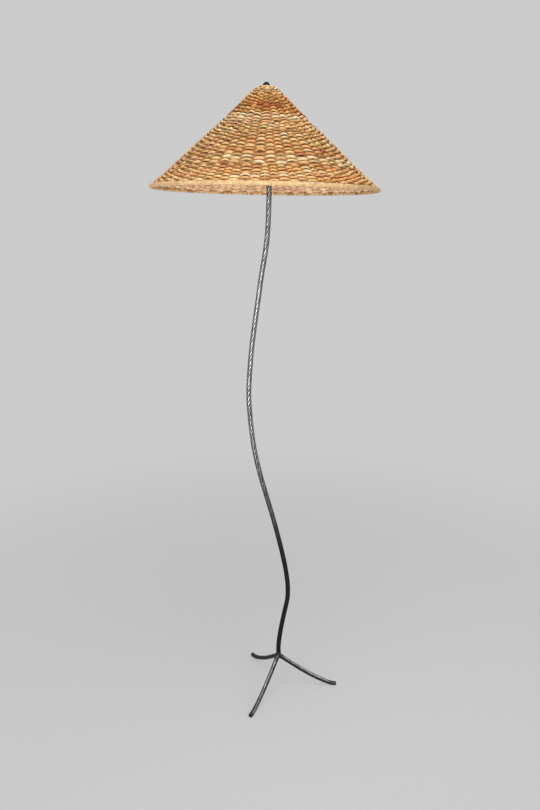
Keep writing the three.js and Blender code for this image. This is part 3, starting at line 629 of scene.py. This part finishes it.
# Cord outlet: a bushing moulded from phenolic, pushed into the hole in the back of the stem's foot.
# Its rounded lip keeps the flex off the edge of the steel.
OUTLET_MM = Matrix.Translation(OUTLET) @ Matrix.Rotation(math.radians(-90), 4, "X") @ Matrix.Scale(0.001, 4)
bushing = turned("bushing", [(3.2, 5.6), (4.1, 5.6), (4.1, 6.2), (5.8, 3.0), (5.8, 8.1), (5.5, 8.6), (5.0, 8.9),
                             (4.2, 8.9), (3.6, 8.6), (3.2, 7.9), (3.2, 5.6)], OUTLET_MM, 48, 0)
bar_here = Vector(tuple(stem_line[7] - stem_line[5]))
bpy.ops.mesh.primitive_cylinder_add(vertices=64, radius=STEM_RADIUS + 0.0002, depth=0.04, location=OUTLET,
                                    rotation=bar_here.to_track_quat("Z", "Y").to_euler())
cut(bushing, bpy.context.object)
settle(bushing, "outlet_bushing", "stand", "phenolic", phenolic, "cord_outlet_bushing")

# Shade fitter: zinc-plated steel, with a washer that sits on the harp's stud, three welded arms
# and a wire ring that is tied under the upper courses of the weave.
PLAY = 0.6
SHADE = HEAD @ Matrix.Translation((0, 0, (HARP_SHOULDER + PLAY) / 1000)) @ Matrix.Rotation(math.radians(2.6), 4, "Y")
SHADE_MM = SHADE @ Matrix.Scale(0.001, 4)
RING_RADIUS = 58
RING_HEIGHT = -36.7
WASHER = 1.5
fitter_parts = [turned("fitter_washer", [(3.5, 0), (15, 0), (15, WASHER), (3.5, WASHER), (3.5, 0)], SHADE_MM, 48, 0.35)]
ring_turn = np.linspace(0, math.tau, 97)
ring_line = [SHADE_MM @ Vector((RING_RADIUS * math.cos(a), RING_RADIUS * math.sin(a), RING_HEIGHT)) for a in ring_turn]
fitter_parts.append(round_bar("fitter_ring", [tuple(p) for p in ring_line], 0.002, detail=4, caps=False))
for turn in (30, 150, 270):
    start = facing(turn) * 13.4 + Vector((0, 0, 0.4))
    end = facing(turn) * (RING_RADIUS - 0.8) + Vector((0, 0, RING_HEIGHT))
    arm_line = [tuple(SHADE_MM @ start.lerp(end, t)) for t in np.linspace(0, 1, 12)]
    fitter_parts.append(round_bar("fitter_arm", arm_line, 0.0016, detail=4))
    for spot, size in ((start, 0.0021), (end, 0.0026)):
        bpy.ops.mesh.primitive_ico_sphere_add(subdivisions=3, radius=size, location=SHADE_MM @ spot)
        bpy.ops.object.transform_apply(location=True)
        bead = bpy.context.object
        dents(bead, 0.002, 0.0007)
        fitter_parts.append(bead)
fitter = joined(*fitter_parts)
settle(fitter, "wire_fitter", "shade", "zinc_fixings", zinc, "shade_fitter")

# Woven cone: about sixty courses of split rattan, woven over and under round stakes.
# The strands dry to different colours, and each bulges where it crosses over a stake.
WALL_OUTLINE = ((17.1, 5.5), (24.4, 2.9), (32.9, -3), (47.9, -17), (69.9, -39), (115.8, -82.6), (166.7, -127.4),
                (215.7, -172.1), (266.1, -218.1), (299.3, -244.2))
STAKE_RADIUS = 1.4
STRAND_HALF_THICKNESS = 1.45
STRAND_SWING = 1.7
STRAND_FACETS = 8
WALL_DEPTH = 3.2
random = np.random.default_rng(1795)

corners = np.array(WALL_OUTLINE, float)
run = np.concatenate([[0], np.cumsum(np.linalg.norm(np.diff(corners, axis=0), axis=1))])
wall_run = np.linspace(0, run[-1], 500)
wall = np.column_stack([np.interp(wall_run, run, corners[:, k]) for k in (0, 1)])
padded = np.pad(wall, ((12, 12), (0, 0)), mode="reflect", reflect_type="odd")
wall = np.column_stack([np.convolve(padded[:, k], np.ones(25) / 25, mode="valid") for k in (0, 1)])
wall_run = np.concatenate([[0], np.cumsum(np.linalg.norm(np.diff(wall, axis=0), axis=1))])
wall_slope = np.gradient(wall, wall_run, axis=0)
wall_slope /= np.linalg.norm(wall_slope, axis=1)[:, None]
wall_out = np.column_stack([-wall_slope[:, 1], wall_slope[:, 0]])
wall_mid = wall - WALL_DEPTH * wall_out
WALL_LENGTH = wall_run[-1]


def on_wall(along, turn, depth):
    """Points, slope directions and outward directions on the cone, in the shade's own millimetres."""
    columns = (*wall_mid.T, *wall_slope.T, *wall_out.T)
    r, z, sr, sz, nr, nz = (np.interp(along, wall_run, column) for column in columns)
    c, s = np.cos(turn), np.sin(turn)
    radius = r + depth * nr
    points = np.column_stack([radius * c, radius * s, z + depth * nz])
    return points, np.column_stack([sr * c, sr * s, sz]), np.column_stack([nr * c, nr * s, nz])


def facets_round(facets):
    """The angles of a strand's edges round it, so that it lies on a flat."""
    return np.linspace(0, math.tau, facets, endpoint=False) + np.pi / facets


def lay_strands(name, strands):
    """One mesh of many strands, each a line, two cross directions, two half sizes, tints, if it closes, and facets."""
    verts, quads, tints, uvs, count = [], [], [], [], 0
    for line, side, out, half_width, half_thickness, tint, closed, facets in strands:
        n = len(line)
        half_width, half_thickness = half_width + np.zeros(n), half_thickness + np.zeros(n)
        angle = facets_round(facets)
        across = np.sign(np.cos(angle)) * np.abs(np.cos(angle)) ** 0.8
        ring = (line[:, None] + side[:, None] * (half_width[:, None] * across)[..., None]
                + out[:, None] * (half_thickness[:, None] * np.sin(angle))[..., None])
        verts.append(ring.reshape(-1, 3))
        tint = tint if tint.ndim > 1 else np.tile(tint, (n, 1))
        tints.append(tint.reshape(-1, 3) if tint.ndim == 3 else np.repeat(tint, facets, axis=0))
        i = np.arange(n if closed else n - 1)[:, None]
        j = np.arange(facets)[None]
        a, b = i * facets + j, i * facets + (j + 1) % facets
        c, d = ((i + 1) % n) * facets + (j + 1) % facets, ((i + 1) % n) * facets + j
        quads.append(np.stack([a, b, c, d], axis=-1).reshape(-1, 4) + count)
        length = np.concatenate([[0], np.cumsum(np.linalg.norm(np.diff(line, axis=0), axis=1))])
        length = np.append(length, length[-1] + np.linalg.norm(line[0] - line[-1])) if closed else length
        u0, u1 = length[i] + 0 * j, length[i + 1] + 0 * j
        girth = 4.4 * half_width.mean() / facets
        v0, v1 = girth * j + 0 * i, girth * (j + 1) + 0 * i
        uv = np.stack([np.stack(corner, -1) for corner in ((u0, v0), (u0, v1), (u1, v1), (u1, v0))], axis=-2)
        uvs.append(uv.reshape(-1, 2) / 1000 + [random.uniform(0, 5), random.uniform(0, 5)])
        count += n * facets
    verts, quads, tints, uvs = np.vstack(verts), np.vstack(quads), np.vstack(tints), np.vstack(uvs)
    mesh = bpy.data.meshes.new(name)
    mesh.from_pydata(verts.tolist(), [], quads.tolist())
    layer = mesh.uv_layers.new(name="UVMap")
    layer.data.foreach_set("uv", uvs.astype(np.float32).ravel())
    colour = mesh.color_attributes.new("tint", "FLOAT_COLOR", "POINT")
    colour.data.foreach_set("color", np.column_stack([tints, np.ones(len(tints))]).astype(np.float32).ravel())
    piece = new_piece(name, mesh)
    if any(not closed for *_, closed, facets in strands):
        bpy.ops.object.mode_set(mode="EDIT")
        bpy.ops.mesh.select_all(action="DESELECT")
        bpy.ops.mesh.select_non_manifold(extend=False, use_wire=False, use_multi_face=False,
                                         use_non_contiguous=False, use_verts=False)
        bpy.ops.mesh.fill_holes(sides=0)
        bpy.ops.object.mode_set(mode="OBJECT")
    mesh.transform(SHADE_MM)
    all_over(bpy.ops.mesh.normals_make_consistent, inside=False)
    return piece


def linear(red, green, blue):
    """A colour given as on screen, 0 to 255, as the light that it stands for."""
    return (np.array([red, green, blue]) / 255) ** 2.2


STRAND_COLOURS = np.array([
    linear(222, 172, 110),
    linear(192, 138, 80),
    linear(250, 220, 164),
    linear(208, 142, 82),
    linear(178, 102, 62),
    linear(208, 174, 106),
])
USUAL_SHARES = np.array([0.46, 0.26, 0.08, 0.09, 0.04, 0.07])
RED_SHARES = np.array([0.22, 0.34, 0.07, 0.25, 0.09, 0.03])
PALE_SHARES = np.array([0.38, 0.12, 0.36, 0.04, 0.01, 0.09])
# Red and pale bands lie at these runs down the cone, and the tone changes in rings: red, green and blue by place.
BANDS = ((72, 112, RED_SHARES), (258, 278, RED_SHARES), (112, 146, PALE_SHARES), (282, 312, PALE_SHARES))
RING_TONE_RUN = (0, 30, 62, 90, 112, 124, 240, 310, 345)
RING_TONES = ((1.25, 1.22, 0.92, 0.87, 1.01, 1.17, 1.11, 1.04, 1.37),
         (1.42, 1.33, 0.77, 0.69, 0.83, 1.24, 1.17, 1.02, 1.42),
         (1.75, 1.55, 0.51, 0.45, 0.59, 1.48, 1.29, 1.08, 1.58))


def strand_tints(phase, stitches, shares):
    """Colours along one course: long patches of its own, and each stitch a little lighter or darker."""
    patches = max(4, stitches // 4)
    patch = STRAND_COLOURS[random.choice(len(STRAND_COLOURS), patches, p=shares)]
    stitch = STRAND_COLOURS[random.choice(len(STRAND_COLOURS), stitches, p=shares)]
    tone = random.uniform(0.82, 1.12, (stitches, 1))
    owner = np.floor(phase / np.pi + 0.5).astype(int) % stitches
    shift = random.integers(stitches)
    patch_share = 0.76
    mix = patch_share * patch[((owner + shift) % stitches) * patches // stitches] + (1 - patch_share) * stitch[owner]
    return mix * tone[owner]


def strand_colour_and_painted_shading(over, colour):
    """Colours round a strand: painted shade where it lies behind its neighbours and along its lower edge, a painted
    highlight along its upper edge, and paler and pinker inside the shade.
    """
    around = facets_round(STRAND_FACETS)
    covered = 0.55 * np.abs(np.cos(around))
    # Painted shade: darker and browner where the strand lies behind its neighbours.
    painted_cover_shade = np.interp(over[:, None] - covered, [-1, -0.3, 0.4], [0.24, 0.26, 1.04])
    # Painted highlight on each strand's upper edge, painted shade on its lower edge.
    edge = np.interp(np.cos(around), [-0.92, -0.38, 0.38, 0.92], [1.20, 1.30, 0.84, 0.30])[:, None]
    outside = colour[:, None] * painted_cover_shade[..., None] ** [0.85, 1.15, 1.6] * edge ** [0.8, 1.0, 1.25]
    # Inside the shade, the same painted shade and highlight, but weaker.
    painted_cover_shade_inside = np.interp(-over[:, None] - covered, [-1, -0.45, 0.2], [0.44, 0.60, 1])
    edge_inside = (0.97 - 0.2 * np.cos(around))[:, None]
    pinker = 0.5 * colour + 0.5 * linear(228, 196, 172)
    inside = pinker[:, None] * painted_cover_shade_inside[..., None] ** [0.9, 1.1, 1.3] * edge_inside
    outward = (0.5 + 0.5 * np.sin(around))[:, None]
    tint = outside * outward + inside * (1 - outward)
    palest = 0.88
    return tint * np.minimum(1, palest / tint.max(axis=-1, keepdims=True))


def thrice(values, lap):
    """A round of values with the rounds before and after it."""
    return np.concatenate([values - lap, values, values + lap])


def round_the_course(turn, values):
    """Values that are known once a stitch, run smoothly round the course."""
    return np.interp(turn, np.linspace(0, math.tau, len(values) + 1), np.append(values, values[0]))


PAIR_RUN = 42
PAIR_HALF_GAP = 1.7
PARTING_LEAD = 12
PARTING_RUN = 55
ALL_STAKES = 80
THIRD_SET = 318
stake_numbers = np.arange(ALL_STAKES)
stake_starts = np.zeros(ALL_STAKES)
stake_sets = []
members = stake_numbers
for count, begin in ((ALL_STAKES, THIRD_SET), (54, 156), (32, 0)):
    members = members[np.round(np.arange(count) * len(members) / count).astype(int)]
    set_turns = (np.arange(count) + random.uniform(-0.18, 0.18, count)) * math.tau / count
    stake_sets.insert(0, (begin, np.interp(stake_numbers, thrice(members, ALL_STAKES), thrice(set_turns, math.tau))))
    stake_starts[members] = begin
pair_turns = (set_turns[0::2] + set_turns[1::2]) / 2


def stake_turns(along):
    """Where every stake stands at some run down the cone. They move apart where more are pushed in."""
    turns = stake_sets[0][1]
    for begin, later in stake_sets[1:]:
        share = np.clip((along - begin + PARTING_LEAD) / PARTING_RUN, 0, 1)
        turns = turns + (later - turns) * share * share * (3 - 2 * share)
    return turns


WEAVE_START = 5.0
WEAVE_LENGTH = WALL_LENGTH - 6.5
pitches = []
while sum(pitches) < WEAVE_LENGTH:
    usual = np.interp(sum(pitches) / WALL_LENGTH, [0, 0.48, 0.56, 0.78, 0.84, 1], [5.5, 5.8, 6.9, 7.2, 5.8, 5.5])
    pitches.append(usual * random.choice([0.72, 0.92, 1.05, 1.2], p=[0.2, 0.25, 0.35, 0.2]))
pitches = np.array(pitches) * WEAVE_LENGTH / sum(pitches)


def middle_of(course):
    """How far down the cone a course lies."""
    return WEAVE_START + pitches[:course].sum() + pitches[course] / 2


WANDER_KEPT = 0.86
WANDER_SPREAD = 0.26
courses = []
wander_turn = np.linspace(0, math.tau, 721)
wander = 0 * wander_turn
for course, pitch in enumerate(pitches):
    along = middle_of(course)
    turns_here = pair_turns if along < PAIR_RUN else stake_turns(along)[stake_starts < along]
    stakes = len(turns_here)
    turn = np.linspace(0, math.tau, stakes * 8, endpoint=False)
    phase = np.interp(turn, thrice(turns_here, math.tau), np.arange(-stakes, 2 * stakes)) * np.pi + course * np.pi
    over = np.cos(phase)
    bulge = np.abs(over) ** 0.85

    # Each course wanders a little up and down, more or less as the one above it, and single stitches are pushed aside.
    # A stitch arches over its stake. Near the rim, where the stakes are close, it bulges and arches less.
    wander = WANDER_KEPT * wander + sum(random.normal(0, WANDER_SPREAD)
                                        * np.cos(m * wander_turn + random.uniform(0, math.tau))
                                        for m in (1, 2, 3, 5, 8, 13, 19))
    slack = 0.75 if along < THIRD_SET else 1.0
    nudge = round_the_course(turn, random.normal(0, slack, stakes)) * np.maximum(over, 0)
    nudge *= course < len(pitches) - 1
    arch = np.interp(along, [240, 330], [1.3, 1.0]) * over
    swing = STRAND_SWING * np.interp(along, [240, 330], [1, 0.78]) * np.where(over > 0, 1.3, -0.9) * bulge
    line, side, out = on_wall(along + np.interp(turn, wander_turn, wander) + nudge - arch, turn,
                              swing + 0.8 * np.abs(nudge))
    tilt = round_the_course(turn, random.normal(-0.12, 0.10, stakes))[:, None]
    side, out = side * np.cos(tilt) + out * np.sin(tilt), out * np.cos(tilt) - side * np.sin(tilt)
    width = round_the_course(turn, random.uniform(0.86, 1.12, stakes))
    half_width = pitch * (0.68 - 0.04 * over ** 2 - 0.42 * np.minimum(over, 0)) * width
    half_thickness = STRAND_HALF_THICKNESS * (0.92 + 0.28 * bulge)
    shares = next((band for top, foot, band in BANDS if top < along < foot), USUAL_SHARES)
    ring_toned = [np.interp(along, RING_TONE_RUN, tones) for tones in RING_TONES]
    tint = strand_colour_and_painted_shading(over, strand_tints(phase, stakes, shares) * ring_toned)
    courses.append((line, side, out, half_width, half_thickness, tint, True, STRAND_FACETS))

rattan, tree, shader = fresh_material("split_rattan", Specular_IOR_Level=0.2, Specular_Tint=(1, 0.82, 0.58, 1))
tint = node(tree, "Attribute", attribute_name="tint").outputs["Color"]
place = node(tree, "UVMap", uv_map="UVMap").outputs["UV"]
fibre = noise(tree, node(tree, "Mapping", {"Vector": place, "Scale": (45, 1500, 1)}).outputs[0], 1.0, 4, 0.6)
blotch = noise(tree, node(tree, "Mapping", {"Vector": place, "Scale": (42, 420, 1)}).outputs[0], 1.0, 3, 0.55)
tone = maths(tree, "MULTIPLY", graded(tree, fibre, 0.66, 1.22, 0.3, 0.7), graded(tree, blotch, 0.58, 1.14, 0.34, 0.62))
toned = node(tree, "VectorMath", {0: tint, "Scale": tone}, operation="SCALE").outputs[0]
feed(tree, shader, Base_Color=toned, Roughness=graded(tree, fibre, 0.48, 0.72), Normal=raised(tree, fibre, 0.5, 0.0008))

# The weave is kept as four pieces, from the crown to the rim.
fifth = len(courses) // 5
piece_names = ("weave_top", "weave_middle", "weave_lower", "weave_foot")
piece_ends = (0, 2 * fifth, 3 * fifth + 2, 4 * fifth + 2, len(courses))
for weave_name, first, last in zip(piece_names, piece_ends, piece_ends[1:]):
    weave = lay_strands(weave_name, courses[first:last])
    settle(weave, weave_name, "shade", "woven_rattan", rattan, "shade_weave")

# Stakes: round rattan rods that fan out from the crown to the hoop, in pairs at first. More are pushed in
# beside them twice, where the gaps grow too wide. Most have painted shade on the outside, where the weave
# covers them.
stakes = []
pair_number = 0
# Painted shade on each stake's outer side, between the strands that cover it.
stake_shade = np.interp(np.sin(facets_round(STRAND_FACETS)), [-0.4, 0.4], [1, 0.3])
for stake in range(ALL_STAKES):
    along = np.linspace(max(stake_starts[stake] - 8, 4.0), WALL_LENGTH + 3, 60)
    radius = np.interp(along, wall_run, wall_mid[:, 0])
    own_turn = np.array([stake_turns(a)[stake] for a in along])
    if stake_starts[stake] == 0:
        spread = np.clip((along - PAIR_RUN) / 34, 0, 1)
        paired = pair_turns[pair_number // 2] + (1 if pair_number % 2 else -1) * PAIR_HALF_GAP / radius
        own_turn = own_turn * spread + paired * (1 - spread)
        pair_number += 1
    line, side, out = on_wall(along, own_turn, random.normal(0, 0.2) + np.zeros(len(along)))
    across = np.cross(out, side)
    thin = STAKE_RADIUS * np.interp(radius, [13, 40], [0.75, 1])
    unshaded_all_round = random.uniform() < 0.12
    tint = linear(214, 174, 122) * random.uniform(0.8, 1.1)
    if not unshaded_all_round:
        tint = np.tile(tint * stake_shade[:, None] ** [0.9, 1.15, 1.5], (len(along), 1, 1))
    wide = thin * np.interp(radius, [40, 80], [1, 1.35])
    stakes.append((line, across, out, wide, thin, tint, False, STRAND_FACETS))
stake_piece = lay_strands("stakes", stakes)
settle(stake_piece, "stakes", "shade", "woven_rattan", rattan)

# Ends: where a strand of the same split rattan runs out, the new one is laid in beside it.
# Most ends are tucked away inside, a few lie outside, and one dark knot stands out on the right.
ends = []
for end_number in range(60):
    tucked_away = end_number % 5 > 0
    along = middle_of(random.integers(6, len(pitches) - 1))
    start_turn = random.uniform(0, math.tau)
    length = random.uniform(9, 18) / np.interp(along, wall_run, wall_mid[:, 0]) * random.choice([-1, 1])
    lift = np.linspace(0, 1, 8)
    depth = (-3.2 - 1.6 * lift ** 2) if tucked_away else (2.4 + 1.2 * lift ** 2)
    line, side, out = on_wall(along + random.uniform(-2, 2) * lift, start_turn + length * lift, depth)
    end_tint = STRAND_COLOURS[random.choice(6, p=USUAL_SHARES)] * random.uniform(0.6, 1.0)
    width = random.uniform(1.6, 2.4) * np.interp(lift, [0, 0.85, 1], [1, 0.9, 0.45])
    ends.append((line, side, out, width, 0.8, end_tint, False, 6))

# The knot is two dark strands that run down the slope side by side, and cross.
KNOT_PLACE = 118
KNOT_TURN = -0.38
KNOT_DARK = linear(66, 40, 24)
for tilt, bow in ((-0.05, 1.4), (0.06, 2.4)):
    down = np.linspace(-1, 1, 9)
    line, side, out = on_wall(KNOT_PLACE + 9 * down, KNOT_TURN + tilt * down, 2.0 + bow * np.cos(down * 1.4))
    ends.append((line, np.cross(out, side), out, 2.4, 1.4, KNOT_DARK, False, STRAND_FACETS))
end_piece = lay_strands("strand_ends", ends)
settle(end_piece, "strand_ends", "shade", "woven_rattan", rattan)

# Crown: the stakes' upper ends are bound by three turns of the same split rattan,
# coiled flat round the hole, where the finial presses on them.
crown_turns = []
CROWN_HOLE = 12.9
for radius, height, half_width, half_thickness in (
    (CROWN_HOLE, 3.9, 2.2, 1.5),
    (16.6, 3.8, 2.4, 1.6),
    (20.6, 2.9, 2.6, 1.6),
):
    turn = np.linspace(0, math.tau, 72, endpoint=False)
    c, s, level = np.cos(turn), np.sin(turn), np.zeros(72)
    rise = 0.35 * np.cos(turn * 9 + random.uniform(0, 6)) * (radius > CROWN_HOLE)
    line = np.column_stack([radius * c, radius * s, height + rise])
    slope = (radius - CROWN_HOLE) * 0.045
    side = np.column_stack([c * math.cos(slope), s * math.cos(slope), level - math.sin(slope)])
    out = np.column_stack([c * math.sin(slope), s * math.sin(slope), level + math.cos(slope)])
    tint = strand_tints(turn * 9, 18, USUAL_SHARES)
    crown_turns.append((line, side, out, half_width, half_thickness, tint, True, STRAND_FACETS))
crown = lay_strands("crown_turns", crown_turns)
settle(crown, "crown_turns", "shade", "woven_rattan", rattan)

# Rim: a round rattan hoop, lashed turn by turn with split peel, which is paler than the weave.
# The peel has painted shade on the right, and is darker and redder in short runs at the back.
HOOP_RADIUS = 299.5
HOOP_HEIGHT = -250.0
CORE_RADIUS = 4.6
LASHING_RADIUS = 5.1
LASHING_HALF_THICKNESS = 0.42
hoop_turn = np.linspace(0, math.tau, 288, endpoint=False)
c, s = np.cos(hoop_turn), np.sin(hoop_turn)
hoop_line = np.column_stack([HOOP_RADIUS * c, HOOP_RADIUS * s, HOOP_HEIGHT + 0 * c])
radial = np.column_stack([c, s, 0 * c])
upright = np.column_stack([0 * c, 0 * c, 0 * c + 1])
core = [(hoop_line, upright, radial, CORE_RADIUS, CORE_RADIUS, linear(226, 188, 136), True, 12)]
hoop = lay_strands("hoop_core", core)
settle(hoop, "hoop_core", "shade", "rim_binding", rattan, "rim_hoop")

WRAPS = 640
PEEL = linear(235, 196, 149)
DARK_RED_PEEL = linear(190, 128, 80)
wraps = []
around = np.linspace(0, math.tau, 12, endpoint=False)
for wrap in range(WRAPS):
    turn = math.tau * (wrap + random.uniform(-0.10, 0.10)) / WRAPS
    here = turn + 0.2 * (random.normal(0, 0.05) + 0.5 * np.cos(around) * math.tau / WRAPS)
    radius = HOOP_RADIUS + LASHING_RADIUS * np.cos(around)
    height = HOOP_HEIGHT + LASHING_RADIUS * np.sin(around)
    line = np.column_stack([radius * np.cos(here), radius * np.sin(here), height])
    out = np.column_stack([np.cos(around) * np.cos(here), np.cos(around) * np.sin(here), np.sin(around)])
    side = np.column_stack([-np.sin(here), np.cos(here), 0 * here])
    dark_red_run = 0.5 + 0.5 * math.sin(turn * 23) * math.sin(turn * 7 + 1) > 0.62 and math.sin(turn) > 0.3
    # Painted shade darkens the peel towards the right.
    peel_with_painted_shade = (DARK_RED_PEEL if dark_red_run else PEEL) * random.uniform(0.86, 1.1) * np.interp(math.cos(turn), [0.5, 0.95], [1, 0.76])
    half_width = 1.5 * random.uniform(0.94, 1.08)
    # Painted highlight on each wrap's upper side, painted shade on its lower side.
    tint = peel_with_painted_shade * (0.92 + 0.20 * np.sin(around[:, None]))
    wraps.append((line, side, out, half_width, LASHING_HALF_THICKNESS, tint, True, 4))
lashing = lay_strands("hoop_lashing", wraps)
settle(lashing, "hoop_lashing", "shade", "rim_binding", rattan)

# Finial: a small black-painted nut with a domed head, turned down on the harp's stud,
# where it holds the shade's washer against the stud's shoulder.
FINIAL_BASE = HARP_SHOULDER + PLAY + WASHER + PLAY
FINIAL_BORE = 3.5
FINIAL_BORE_TOP = FINIAL_BASE + 10.8
dome = [(9.8 * math.cos(a), FINIAL_BASE + 3.2 + 10.6 * math.sin(a)) for a in np.linspace(0, math.pi / 2, 14)]
dome[-1] = (0, dome[-1][1])
finial = turned("finial", [(0, FINIAL_BORE_TOP), (FINIAL_BORE, FINIAL_BORE_TOP), (FINIAL_BORE, FINIAL_BASE),
                           (6.5, FINIAL_BASE), (6.5, FINIAL_BASE + 3.0), *dome], HEAD_MM)
black_paint, tree, shader = fresh_material("black_paint", Roughness=0.55, Specular_IOR_Level=0.15)
wear = noise(tree, own_place(tree), 260, 4)
feed(tree, shader, Base_Color=two_tones(tree, wear, (0.004, 0.004, 0.004), 0.4, (0.012, 0.0115, 0.011), 0.75))
settle(finial, "finial_nut", "finial", "black_finial", black_paint, "finial")
